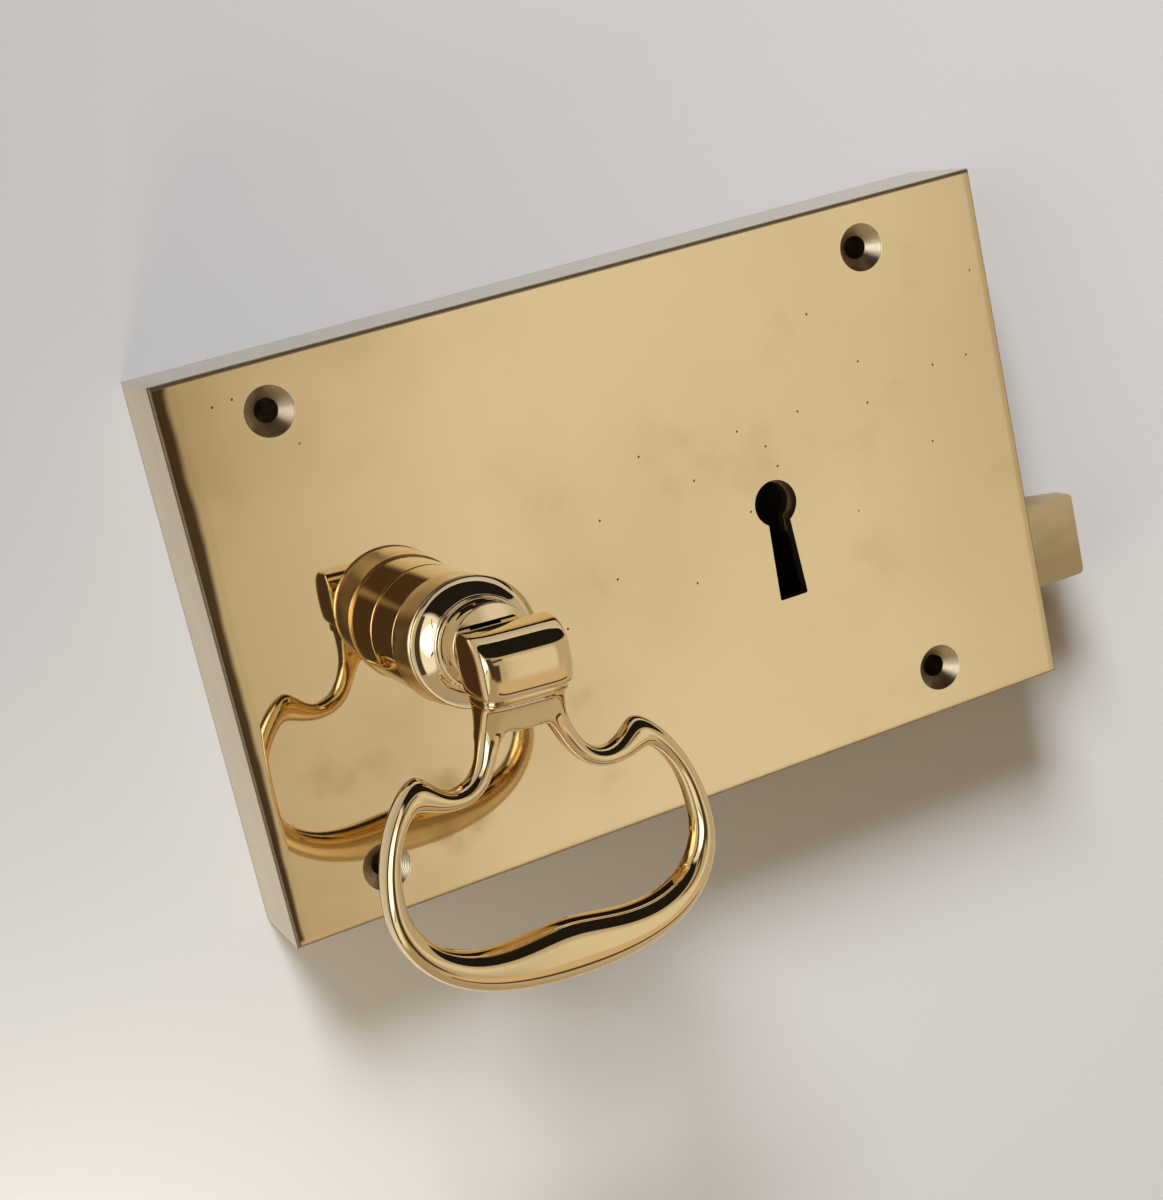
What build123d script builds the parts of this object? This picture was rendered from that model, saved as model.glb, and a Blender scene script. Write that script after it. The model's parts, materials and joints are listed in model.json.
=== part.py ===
"""A brass rim lock with a drop handle: box case, sprung latch bolt and lever-held dead bolt.

Frame: +Z up, +X towards the bolts, +Y into the door. The origin is the centre of the back face,
which lies on the door. Depths are written as "out", the distance from the door face towards the
room, and the handle's as "reach", the distance in front of the case's front plate.
"""

import os
from math import cos, radians, sin, sqrt, tan

from build123d import *

os.makedirs("parts", exist_ok=True)

# Case
case_length = 203.2
case_height = 127.0
case_depth = 25.4
plate_thickness = 3.2
wall_thickness = 3.2
case_edge_radius = 0.9
back_plate_thickness = 2.0
back_plate_gap = 0.15

# Fixing screws of the lock, which the plate shows as four empty countersunk holes
fixing_hole_diameter = 5.5
fixing_countersink_diameter = 11.2
fixing_pillar_diameter = 12.0
fixing_inset_left = 23.9
fixing_inset_right = 32.6
fixing_inset_height = 11.3

# Screws of the back plate
cover_screw_diameter = 3.0
cover_screw_head_diameter = 5.8
cover_screw_length = 9.0
cover_boss_diameter = 8.4
cover_screw_inset = 8.4

# Keyhole
keyhole_x = 34.1
keyhole_z = -0.2
keyhole_diameter = 11.0
key_slot_top_width = 5.4
key_slot_bottom_width = 7.4
key_bit_radius = 22.0
key_clearance = 1.0
ward_boss_diameter = 17.0
ward_boss_height = 2.8

# Clearances
running_gap = 0.08
sliding_gap = 0.15
seat_gap = 0.02
face_gap = 0.3
layer_gap = 0.2
slot_gap = 0.25

# Handle shank, turned on the axis that the follower turns on
handle_x = -54.3
handle_z = -3.4
collar_diameter = 28.2
collar_length = 14.5
collar_bore = 20.1
collar_spigot_diameter = 24.0
collar_nut_diameter = 32.0
collar_nut_thickness = 2.0
collar_nut_notch = 3.0
rim_diameter = 29.0
rim_length = 5.2
groove_diameter = 25.8
groove_width = 1.4
bulb_diameter = 31.6
bulb_length = 9.4
neck_bead_diameter = 21.2
neck_diameter = 17.4
neck_end_diameter = 18.2
neck_setback = 7.3
spindle_size = 8.0
spindle_back_out = 11.0
spindle_socket_depth = 12.0
spindle_pin_diameter = 3.0
spindle_pin_reach = 7.0

# Hinge of the drop handle
hinge_reach = 46.5
hinge_z = -0.6
hinge_pin_diameter = 3.4
lug_width = 8.0
lug_eye_radius = 3.6
lug_thickness = 5.6
lug_angle = 49.0
ring_swing = 80.0

# Drop handle: front outline, seen along the shank, and side outline
head_half_width = 9.9
head_top_z = 5.0
head_depth = 15.2
moulding_z = -8.2
moulding_half_width = 8.9
crossbar_bottom_z = -16.6
arm_half_width = 10.6
arm_depth = 6.4
horn_x = 23.7
horn_z = -20.4
bow_half_width = 35.2
bow_widest_z = -44.5
bow_thickness = 3.5
handle_bottom_z = -69.0
grip_thickness = 11.2
grip_depth = 8.8
handle_lean = 7.0

# Bolts
bolt_setback = 5.2
bolt_height = 21.0
bolt_shoulder = 1.5
bolt_corner_radius = 1.4
latch_z = -32.6
latch_projection = 16.4
latch_bevel_length = 9.6
latch_tip_thickness = 3.4
latch_head_length = 34.0
tail_height = 13.0
tail_thickness = 4.0
lug_block_length = 8.0
lug_block_top_z = -19.0
deadbolt_z = 24.5
deadbolt_throw = 14.0
deadbolt_head_length = 27.6
deadbolt_tail_height = 13.0
deadbolt_tail_end_x = -30.0
talon_half_width = 10.0
talon_centre_x = 26.8

# Follower
follower_hub_diameter = 22.0
follower_journal_diameter = 18.0
follower_arm_radius = 24.0
follower_arm_tip_radius = 3.5
follower_arm_thickness = 6.0

# Latch guide
bridge_x = -8.0
bridge_width = 8.0
bridge_gauge = 1.6
bridge_foot = 7.0
bridge_screw_diameter = 2.6
bridge_screw_length = 4.0

# Latch spring
spring_gauge = 0.9
spring_width = 7.0
spring_post_diameter = 4.0
spring_root_inset = 7.4
spring_root_z = 30.0

# Levers
lever_post_x = -8.0
lever_post_diameter = 6.0
lever_count = 3
lever_thickness = 1.4
lever_spacing = 1.6
lever_boss_diameter = 14.0
lever_top_z = 38.0
lever_bottom_z = 15.5
lever_end_x = 69.5
lever_lift = 4.5
belly_radius = 18.7
stump_x = 50.0
stump_z = 27.0
stump_width = 3.0
stump_height = 4.0
gate_land = 2.0
gate_gap = 0.3
lever_washer_diameter = 12.0
lever_washer_thickness = 1.1
lever_spring_gauge = 0.5
spring_stud_diameter = 5.0
spring_stud_x = 46.0
spring_stud_inset = 8.3

# Places worked out from the sizes above
half_length = case_length / 2
half_height = case_height / 2
inner_half_length = half_length - wall_thickness
inner_half_height = half_height - wall_thickness
plate_inside = case_depth - plate_thickness
fixing_places = [
    (x, z)
    for x in (-half_length + fixing_inset_left, half_length - fixing_inset_right)
    for z in (-half_height + fixing_inset_height, half_height - fixing_inset_height)
]
cover_screw_places = [
    (sx * (half_length - cover_screw_inset), sz * (half_height - cover_screw_inset))
    for sx in (-1, 1)
    for sz in (-1, 1)
]
lever_back_out = back_plate_thickness + face_gap + lever_washer_thickness + layer_gap
lever_front_out = lever_back_out + (lever_count - 1) * lever_spacing + lever_thickness
bolt_front_out = case_depth - bolt_setback
bolt_back_out = lever_front_out + layer_gap
bolt_thickness = bolt_front_out - bolt_back_out
latch_tip_x = half_length + latch_projection
lug_face_x = handle_x - follower_arm_tip_radius - face_gap
lever_post_z = deadbolt_z
key_slot_bottom_z = keyhole_z - key_bit_radius - key_clearance
arm_front_out = bolt_front_out - tail_thickness - 2 * face_gap
spring_root_x = -inner_half_length + spring_root_inset
spring_stud_z = inner_half_height - spring_stud_inset
handle_axis = Axis((handle_x, 0, handle_z), (0, 1, 0))


def out_plane(out):
    """A sketch plane parallel to the plate: local x is X, local y is Z, and it extrudes outwards."""
    return Plane.XZ.offset(out)


# Radius against reach, for pieces turned on the handle's axis
turning_plane = Plane(origin=(handle_x, -case_depth, handle_z), x_dir=(1, 0, 0), z_dir=(0, 0, -1))

# Reach against height, for outlines seen from the side
side_plane = Plane(origin=(handle_x, -case_depth, 0), x_dir=(0, -1, 0), z_dir=(-1, 0, 0))


def save(piece, name):
    """Labels a finished piece and writes it as a file of its own."""
    piece.label = name
    export_step(piece, f"parts/{name}.step")


def keyhole_sketch(gap=0.0):
    """The keyhole's outline: a round eye over a slot that widens downwards."""
    top = key_slot_top_width / 2 + gap
    bottom = key_slot_bottom_width / 2 + gap
    with BuildSketch(mode=Mode.PRIVATE) as outline:
        with Locations((keyhole_x, keyhole_z)):
            Circle(keyhole_diameter / 2 + gap)
        with BuildLine():
            Polyline(
                (keyhole_x - top, keyhole_z),
                (keyhole_x - bottom, key_slot_bottom_z - gap),
                (keyhole_x + bottom, key_slot_bottom_z - gap),
                (keyhole_x + top, keyhole_z),
                close=True,
            )
        make_face()
        fillet(outline.vertices().group_by(Axis.Y)[0], 0.5)
    return outline.sketch


# The case: front plate and four walls in one casting, open at the back
with BuildPart() as case:
    with BuildSketch(out_plane(0)):
        Rectangle(case_length, case_height)
    extrude(amount=case_depth)
    fillet(case.faces().sort_by(Axis.Y)[0].edges(), case_edge_radius)
    with BuildSketch(out_plane(0)):
        Rectangle(2 * inner_half_length, 2 * inner_half_height)
    extrude(amount=plate_inside, mode=Mode.SUBTRACT)
    with BuildSketch(out_plane(back_plate_thickness)):
        with Locations(*fixing_places):
            Circle(fixing_pillar_diameter / 2)
        with Locations(*cover_screw_places):
            Circle(cover_boss_diameter / 2)
    extrude(amount=plate_inside - back_plate_thickness)
    with BuildSketch(out_plane(plate_inside - ward_boss_height)):
        with Locations((keyhole_x, keyhole_z)):
            Circle(ward_boss_diameter / 2)
    extrude(amount=ward_boss_height)
    with BuildSketch(out_plane(bolt_back_out + tail_thickness + layer_gap)):
        with Locations((lever_post_x, lever_post_z)):
            Circle(lever_post_diameter / 2 + 2.5)
    extrude(until=Until.NEXT)
    with BuildSketch(out_plane(plate_inside - 8)):
        with Locations((spring_stud_x, spring_stud_z)):
            Circle(spring_stud_diameter / 2 + 2)
    extrude(amount=8)
    with BuildSketch(out_plane(plate_inside - 15)):
        post_step = (spring_gauge + spring_post_diameter) / 2 + 0.05
        with Locations(
            (spring_root_x - post_step, spring_root_z - 3),
            (spring_root_x + post_step, spring_root_z - 10),
        ):
            Circle(spring_post_diameter / 2)
    extrude(amount=15)
    with BuildSketch(out_plane(plate_inside)):
        add(keyhole_sketch())
        with Locations((handle_x, handle_z)):
            Circle(collar_spigot_diameter / 2 + seat_gap)
    extrude(amount=plate_thickness, mode=Mode.SUBTRACT)
    with BuildSketch(out_plane(plate_inside - ward_boss_height)):
        with Locations((keyhole_x, keyhole_z)):
            Circle(keyhole_diameter / 2 - 0.7)
            with Locations((0, -ward_boss_diameter / 2)):
                Rectangle(key_slot_top_width, ward_boss_diameter)
    extrude(amount=ward_boss_height, mode=Mode.SUBTRACT)
    with Locations(
        *[Plane(origin=(x, -case_depth, z), z_dir=(0, -1, 0)) for x, z in fixing_places]
    ):
        CounterSinkHole(
            fixing_hole_diameter / 2,
            fixing_countersink_diameter / 2,
            depth=case_depth,
            counter_sink_angle=90,
        )
    with BuildSketch(out_plane(back_plate_thickness)):
        with Locations(*cover_screw_places):
            Circle(cover_screw_diameter / 2 + seat_gap)
    extrude(amount=cover_screw_length, mode=Mode.SUBTRACT)
    with BuildSketch(out_plane(bolt_back_out)):
        with Locations((lever_post_x, lever_post_z)):
            Circle(lever_post_diameter / 2 + seat_gap)
        with Locations((spring_stud_x, spring_stud_z)):
            Circle(spring_stud_diameter / 2 + seat_gap)
    extrude(amount=plate_inside - bolt_back_out - 2, mode=Mode.SUBTRACT)
    with BuildSketch(Plane.YZ.offset(inner_half_length)):
        for z in (latch_z, deadbolt_z):
            with Locations((-bolt_front_out + bolt_thickness / 2, z)):
                Rectangle(bolt_thickness + 2 * sliding_gap, bolt_height + 2 * sliding_gap)
    extrude(amount=wall_thickness, mode=Mode.SUBTRACT)
    with BuildSketch(out_plane(plate_inside)):
        for foot_z in (
            latch_z + tail_height / 2 + sliding_gap + bridge_gauge + bridge_foot / 2,
            latch_z - tail_height / 2 - sliding_gap - bridge_gauge - bridge_foot / 2,
        ):
            with Locations((bridge_x, foot_z)):
                Circle(bridge_screw_diameter / 2 + seat_gap)
    extrude(amount=bridge_screw_length - bridge_gauge, mode=Mode.SUBTRACT)
save(case.part, "case")

# The back plate lies in the mouth of the case, flush with its edges
with BuildPart() as back_plate:
    with BuildSketch(out_plane(0)):
        Rectangle(
            2 * (inner_half_length - back_plate_gap), 2 * (inner_half_height - back_plate_gap)
        )
        with Locations(*fixing_places):
            Circle(fixing_hole_diameter / 2, mode=Mode.SUBTRACT)
        with Locations((handle_x, handle_z)):
            Circle(follower_journal_diameter / 2, mode=Mode.SUBTRACT)
        with Locations((lever_post_x, lever_post_z)):
            Circle(lever_post_diameter / 2 + seat_gap, mode=Mode.SUBTRACT)
        add(keyhole_sketch(), mode=Mode.SUBTRACT)
    extrude(amount=back_plate_thickness)
    with Locations(*[Plane(origin=(x, 0, z), z_dir=(0, 1, 0)) for x, z in cover_screw_places]):
        CounterSinkHole(
            cover_screw_diameter / 2 + seat_gap,
            cover_screw_head_diameter / 2 + seat_gap,
            depth=back_plate_thickness,
            counter_sink_angle=90,
        )
save(back_plate.part, "back_plate")

# Four countersunk screws with slotted heads hold the back plate
with BuildPart() as back_plate_screws:
    head_radius = cover_screw_head_diameter / 2
    shank_radius = cover_screw_diameter / 2
    for x, z in cover_screw_places:
        with BuildSketch(Plane(origin=(x, 0, z), x_dir=(1, 0, 0), z_dir=(0, 0, -1))):
            with BuildLine():
                Polyline(
                    (0, 0.02),
                    (head_radius - 0.02, 0.02),
                    (shank_radius, head_radius - shank_radius),
                    (shank_radius, cover_screw_length),
                    (0, cover_screw_length),
                    close=True,
                )
            make_face()
        revolve(axis=Axis((x, 0, z), (0, 1, 0)))
    with BuildSketch(out_plane(0)):
        with Locations(*cover_screw_places):
            Rectangle(cover_screw_head_diameter, 0.8)
    extrude(amount=0.7, mode=Mode.SUBTRACT)
save(back_plate_screws.part, "back_plate_screws")

# The fixed collar stands on the plate, and its spigot goes through to a nut inside
with BuildPart() as shank_collar:
    with BuildSketch(turning_plane):
        with BuildLine():
            Polyline(
                (collar_bore / 2, collar_length),
                (collar_diameter / 2, collar_length),
                (collar_diameter / 2, 0),
                (collar_spigot_diameter / 2, 0),
                (collar_spigot_diameter / 2, -plate_thickness - collar_nut_thickness),
                (collar_bore / 2, -plate_thickness - collar_nut_thickness),
                close=True,
            )
        make_face()
    revolve(axis=handle_axis)
    front_edge = shank_collar.faces().sort_by(Axis.Y)[0].outer_wire().edges()
    chamfer(front_edge, 0.4)
save(shank_collar.part, "shank_collar")

with BuildPart() as collar_nut:
    with BuildSketch(out_plane(plate_inside - collar_nut_thickness)):
        with Locations((handle_x, handle_z)):
            Circle(collar_nut_diameter / 2)
            Circle(collar_spigot_diameter / 2 + seat_gap, mode=Mode.SUBTRACT)
            with PolarLocations(collar_nut_diameter / 2, 4, start_angle=45):
                Rectangle(collar_nut_notch, collar_nut_notch, mode=Mode.SUBTRACT)
    extrude(amount=collar_nut_thickness)
save(collar_nut.part, "collar_nut")

# The turned shank: journal inside the collar, then rim, groove, bulb, bead and neck
rim_start = collar_length + face_gap
rim_end = rim_start + rim_length
groove_end = rim_end + groove_width
bulb_end = groove_end + bulb_length
neck_end = hinge_reach - neck_setback
neck_length = neck_end - bulb_end
hinge_step = sqrt(2) / 2
with BuildPart() as knob_shank:
    with BuildSketch(turning_plane):
        with BuildLine():
            Polyline(
                (0, neck_end),
                (0, 1.0),
                (collar_bore / 2 - running_gap, 1.0),
                (collar_bore / 2 - running_gap, rim_start),
                (rim_diameter / 2 - 0.5, rim_start),
                (rim_diameter / 2, rim_start + 0.5),
                (rim_diameter / 2, rim_end - 0.8),
                (rim_diameter / 2 - 0.5, rim_end - 0.1),
                (groove_diameter / 2, rim_end),
                (groove_diameter / 2, groove_end),
                (bulb_diameter / 2 - 1.5, groove_end + 0.2),
            )
            ThreePointArc(
                (bulb_diameter / 2 - 1.5, groove_end + 0.2),
                (bulb_diameter / 2 - 0.35, groove_end + 0.5 * bulb_length),
                (neck_bead_diameter / 2 + 0.6, bulb_end - 0.4),
            )
            Polyline(
                (neck_bead_diameter / 2 + 0.6, bulb_end - 0.4),
                (neck_bead_diameter / 2, bulb_end - 0.4),
                (neck_bead_diameter / 2 - 0.2, bulb_end + 0.6),
                (neck_bead_diameter / 2 - 0.9, bulb_end + 0.6),
            )
            ThreePointArc(
                (neck_bead_diameter / 2 - 0.9, bulb_end + 0.6),
                (neck_diameter / 2, bulb_end + 0.55 * neck_length),
                (neck_end_diameter / 2, neck_end),
            )
            Line((neck_end_diameter / 2, neck_end), (0, neck_end))
        make_face()
    revolve(axis=handle_axis)
    foot_z = handle_z - 0.8 * neck_end_diameter / 2
    with BuildSketch(side_plane):
        with Locations((hinge_reach, hinge_z)):
            Circle(lug_eye_radius)
        with BuildLine():
            half = lug_thickness / 2
            across = (half * sin(radians(lug_angle)), -half * cos(radians(lug_angle)))
            stem_drop = hinge_z + across[1] - foot_z
            foot_reach = hinge_reach + across[0] - stem_drop / tan(radians(lug_angle))
            root_reach = min(foot_reach, neck_end) - 1
            root_rise = (hinge_reach - across[0] - root_reach) * tan(radians(lug_angle))
            root_top_z = hinge_z - across[1] - root_rise
            Polyline(
                (hinge_reach + across[0], hinge_z + across[1]),
                (foot_reach, foot_z),
                (root_reach, foot_z),
                (root_reach, root_top_z),
                (hinge_reach - across[0], hinge_z - across[1]),
                close=True,
            )
        make_face()
    extrude(amount=lug_width / 2, both=True)
    with BuildSketch(side_plane):
        with Locations((hinge_reach, hinge_z)):
            Circle(hinge_pin_diameter / 2 + running_gap)
    extrude(amount=lug_width, both=True, mode=Mode.SUBTRACT)
    with BuildSketch(out_plane(case_depth)):
        with Locations((handle_x, handle_z)):
            Rectangle(spindle_size + 0.1, spindle_size + 0.1)
    extrude(amount=1.0 + spindle_socket_depth, mode=Mode.SUBTRACT)
    with BuildSketch(Plane.YZ.offset(handle_x)):
        with Locations((-case_depth - spindle_pin_reach, handle_z)):
            Circle(spindle_pin_diameter / 2 + seat_gap)
    extrude(amount=rim_diameter, both=True, mode=Mode.SUBTRACT)
save(knob_shank.part, "knob_shank")

with BuildPart() as spindle:
    with BuildSketch(out_plane(spindle_back_out)):
        with Locations((handle_x, handle_z)):
            Rectangle(spindle_size, spindle_size)
    extrude(amount=case_depth + spindle_socket_depth + 0.9 - spindle_back_out)
    chamfer(spindle.faces().sort_by(Axis.Y)[-1].edges(), 0.6)
    with BuildSketch(Plane.YZ.offset(handle_x)):
        with Locations((-case_depth - spindle_pin_reach, handle_z)):
            Circle(spindle_pin_diameter / 2 + seat_gap)
    extrude(amount=spindle_size, both=True, mode=Mode.SUBTRACT)
save(spindle.part, "spindle")

with BuildPart() as spindle_pin:
    with BuildSketch(Plane.YZ.offset(handle_x)):
        with Locations((-case_depth - spindle_pin_reach, handle_z)):
            Circle(spindle_pin_diameter / 2)
    extrude(amount=collar_bore / 2 - 0.6, both=True)
    chamfer(spindle_pin.edges().filter_by(GeomType.CIRCLE), 0.3)
save(spindle_pin.part, "spindle_pin")

# The drop handle: the front outline, cut to depth by the side outline
inner_bow_x = bow_half_width - bow_thickness
grip_top_z = handle_bottom_z + grip_thickness
horn_root_x = horn_x + 1.6
arm_in_x = 7.0
arm_out = arm_depth / 2
lean = sin(radians(handle_lean))


def arm_middle(z):
    """How far the middle of the hanging arms stands out at height z."""
    return hinge_reach + 0.5 + (horn_z - z) * lean


with BuildPart() as drop_handle:
    with BuildSketch(out_plane(case_depth + hinge_reach - 12)):
        with BuildLine():
            Polyline(
                (handle_x, head_top_z),
                (handle_x + head_half_width - 0.5, head_top_z),
                (handle_x + head_half_width, head_top_z - 6),
                (handle_x + moulding_half_width, moulding_z),
            )
            Spline(
                (handle_x + moulding_half_width, moulding_z),
                (handle_x + moulding_half_width + 0.2, crossbar_bottom_z + 3),
                (handle_x + arm_half_width, horn_z),
                (handle_x + arm_half_width + 4.6, horn_z - 5.2),
                (handle_x + horn_x - 2.4, horn_z - 2.4),
                (handle_x + horn_x, horn_z),
            )
            ThreePointArc(
                (handle_x + horn_x, horn_z),
                (handle_x + horn_x + 0.7, horn_z + 0.1),
                (handle_x + horn_x + 1.2, horn_z - 0.4),
            )
            Spline(
                (handle_x + horn_x + 1.2, horn_z - 0.4),
                (handle_x + 0.89 * bow_half_width, horn_z - 8.6),
                (handle_x + bow_half_width, bow_widest_z),
                (handle_x + 0.83 * bow_half_width, handle_bottom_z + 8.9),
                (handle_x + 0.33 * bow_half_width, handle_bottom_z + 0.8),
                (handle_x, handle_bottom_z),
                tangents=((0.85, -0.55), (-1, 0)),
            )
            mirror(about=Plane.YZ.offset(handle_x))
        make_face()
        with BuildLine():
            Polyline(
                (handle_x, crossbar_bottom_z),
                (handle_x + arm_in_x - 0.8, crossbar_bottom_z),
            )
            Spline(
                (handle_x + arm_in_x - 0.8, crossbar_bottom_z),
                (handle_x + arm_in_x + 1.1, horn_z - 1.8),
                (handle_x + arm_half_width + 1.4, horn_z - 6.7),
                (handle_x + arm_half_width + 5.6, horn_z - 8.1),
                (handle_x + horn_x - 2.2, horn_z - 7.1),
                (handle_x + horn_root_x, horn_z - 5.6),
            )
            Spline(
                (handle_x + horn_root_x, horn_z - 5.6),
                (handle_x + inner_bow_x - 1.9, horn_z - 12.2),
                (handle_x + inner_bow_x, bow_widest_z + 2),
                (handle_x + inner_bow_x - 4.0, grip_top_z + 3.6),
                (handle_x + 0.62 * inner_bow_x, grip_top_z - 1.1),
                (handle_x, grip_top_z),
                tangents=((0.75, -0.66), (-1, 0)),
            )
            mirror(about=Plane.YZ.offset(handle_x))
        make_face(mode=Mode.SUBTRACT)
    extrude(amount=28)
    with BuildSketch(side_plane):
        head_back = hinge_reach - 3.6
        head_front = head_back + head_depth
        grip_middle_z = (handle_bottom_z + grip_top_z) / 2
        grip_middle = arm_middle(grip_middle_z)
        with BuildLine():
            Polyline(
                (head_back, hinge_z - 6),
                (head_back, hinge_z + 2),
                (head_back + 2.6, head_top_z),
                (head_back + 7.4, head_top_z),
            )
            ThreePointArc(
                (head_back + 7.4, head_top_z),
                (head_front - 1.6, head_top_z - 3.4),
                (head_front, hinge_z - 2),
            )
            ThreePointArc(
                (head_front, hinge_z - 2),
                (head_front - 0.5, moulding_z + 2.6),
                (head_front - 2.1, moulding_z),
            )
            ThreePointArc(
                (head_front - 2.1, moulding_z),
                (head_front - 3.3, moulding_z - 0.6),
                (head_front - 2.9, moulding_z - 1.2),
            )
            ThreePointArc(
                (head_front - 2.9, moulding_z - 1.2),
                (head_front - 2.8, moulding_z - 1.7),
                (head_front - 4.2, moulding_z - 2.3),
            )
            Spline(
                (head_front - 4.2, moulding_z - 2.3),
                (head_front - 5.6, moulding_z - 4.8),
                (arm_middle(horn_z) + arm_out, horn_z),
                tangents=((-0.2, -1), (lean, -1)),
            )
            Line(
                (arm_middle(horn_z) + arm_out, horn_z),
                (arm_middle(bow_widest_z) + arm_out, bow_widest_z),
            )
            Spline(
                (arm_middle(bow_widest_z) + arm_out, bow_widest_z),
                (grip_middle + grip_depth / 2, grip_middle_z),
                (grip_middle + 0.6, handle_bottom_z),
                tangents=((lean, -1), (-1, -0.2)),
            )
            Spline(
                (grip_middle + 0.6, handle_bottom_z),
                (grip_middle - grip_depth / 2, grip_middle_z),
                (arm_middle(bow_widest_z) - arm_out, bow_widest_z),
                tangents=((-1, 0), (-lean, 1)),
            )
            Line(
                (arm_middle(bow_widest_z) - arm_out, bow_widest_z),
                (arm_middle(horn_z) - arm_out, horn_z),
            )
            Spline(
                (arm_middle(horn_z) - arm_out, horn_z),
                (head_back + 0.9, hinge_z - 11),
                (head_back, hinge_z - 6),
                tangents=((-lean, 1), (0, 1)),
            )
        make_face()
    extrude(amount=2 * bow_half_width, both=True, mode=Mode.INTERSECT)
    wall_step = lug_thickness / 2 + slot_gap
    low_angle = radians(lug_angle)
    low_wall = (hinge_reach + wall_step * sin(low_angle), hinge_z - wall_step * cos(low_angle))
    high_angle = radians(ring_swing - lug_angle)
    high_wall = (hinge_reach + wall_step * sin(high_angle), hinge_z + wall_step * cos(high_angle))
    with BuildSketch(side_plane):
        with Locations((hinge_reach, hinge_z)):
            Circle(lug_eye_radius + slot_gap)
        with BuildLine():
            Polyline(
                low_wall,
                (low_wall[0] - head_depth * cos(low_angle), low_wall[1] - head_depth * sin(low_angle)),
                (
                    high_wall[0] - head_depth * cos(high_angle),
                    high_wall[1] + head_depth * sin(high_angle),
                ),
                high_wall,
                (hinge_reach, hinge_z),
                close=True,
            )
        make_face()
    extrude(amount=lug_width / 2 + slot_gap, both=True, mode=Mode.SUBTRACT)
    with BuildSketch(side_plane):
        with Locations((hinge_reach, hinge_z)):
            Circle(hinge_pin_diameter / 2 + seat_gap)
    extrude(amount=2 * head_half_width, both=True, mode=Mode.SUBTRACT)
save(drop_handle.part, "drop_handle")

with BuildPart() as hinge_pin:
    with BuildSketch(side_plane):
        with Locations((hinge_reach, hinge_z)):
            Circle(hinge_pin_diameter / 2)
    extrude(amount=head_half_width - 0.3, both=True)
save(hinge_pin.part, "hinge_pin")

# The follower: hub with the square hole, a journal at each end and one arm
arm_back_out = arm_front_out - follower_arm_thickness
hub_back_out = back_plate_thickness + 0.2
hub_front_out = plate_inside - collar_nut_thickness - 0.6
with BuildPart() as follower:
    with BuildSketch(out_plane(0.2)):
        with Locations((handle_x, handle_z)):
            Circle(follower_journal_diameter / 2 - running_gap)
    extrude(amount=2.5)
    with BuildSketch(out_plane(hub_back_out)):
        with Locations((handle_x, handle_z)):
            Circle(follower_hub_diameter / 2)
    extrude(amount=hub_front_out - hub_back_out)
    with BuildSketch(out_plane(hub_front_out - 0.5)):
        with Locations((handle_x, handle_z)):
            Circle(collar_bore / 2 - running_gap)
    extrude(amount=case_depth - 1.4 - hub_front_out)
    with BuildSketch(out_plane(arm_back_out)):
        with BuildLine():
            tip_z = handle_z - follower_arm_radius
            hub_half = 0.72 * follower_hub_diameter / 2
            Line(
                (handle_x - follower_arm_tip_radius, handle_z - 7.4),
                (handle_x - follower_arm_tip_radius, tip_z),
            )
            ThreePointArc(
                (handle_x - follower_arm_tip_radius, tip_z),
                (handle_x, tip_z - follower_arm_tip_radius),
                (handle_x + follower_arm_tip_radius, tip_z),
            )
            Polyline(
                (handle_x + follower_arm_tip_radius, tip_z),
                (handle_x + hub_half, handle_z - 7.4),
                (handle_x - follower_arm_tip_radius, handle_z - 7.4),
            )
        make_face()
    extrude(amount=follower_arm_thickness)
    with BuildSketch(out_plane(0)):
        with Locations((handle_x, handle_z)):
            Rectangle(spindle_size + 0.1, spindle_size + 0.1)
    extrude(amount=case_depth, mode=Mode.SUBTRACT)
save(follower.part, "follower")

# The latch bolt: bevelled head, shoulder inside the wall, long tail and the block the arm draws
head_root_x = latch_tip_x - latch_head_length
shoulder_x = inner_half_length - face_gap
block_end_x = lug_face_x - lug_block_length
tail_top_z = latch_z + tail_height / 2
with BuildPart() as latch_bolt:
    with BuildSketch(Plane.XY.offset(latch_z - bolt_height / 2)):
        with BuildLine():
            Polyline(
                (head_root_x, -bolt_front_out),
                (latch_tip_x, -bolt_front_out),
                (latch_tip_x, -bolt_front_out + latch_tip_thickness),
                (latch_tip_x - latch_bevel_length, -bolt_back_out),
                (head_root_x, -bolt_back_out),
                close=True,
            )
        make_face()
    extrude(amount=bolt_height)
    tip_corners = latch_bolt.edges().filter_by(Axis.Y).group_by(Axis.X)[-1]
    fillet(tip_corners, bolt_corner_radius)
    with BuildSketch(out_plane(bolt_back_out)):
        with Locations(((head_root_x + shoulder_x) / 2, latch_z)):
            Rectangle(shoulder_x - head_root_x, bolt_height + 2 * bolt_shoulder)
    extrude(amount=bolt_thickness)
    with BuildSketch(out_plane(bolt_front_out - tail_thickness)):
        with Locations(((block_end_x + head_root_x) / 2, latch_z)):
            Rectangle(head_root_x - block_end_x, tail_height)
    extrude(amount=tail_thickness)
    with BuildSketch(out_plane(bolt_back_out)) as draw_block:
        with Locations(
            (lug_face_x - lug_block_length / 2, (lug_block_top_z + tail_top_z - tail_height) / 2)
        ):
            Rectangle(lug_block_length, lug_block_top_z - tail_top_z + tail_height)
        fillet(draw_block.vertices(), 1.0)
    extrude(amount=bolt_thickness)
save(latch_bolt.part, "latch_bolt")

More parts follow.
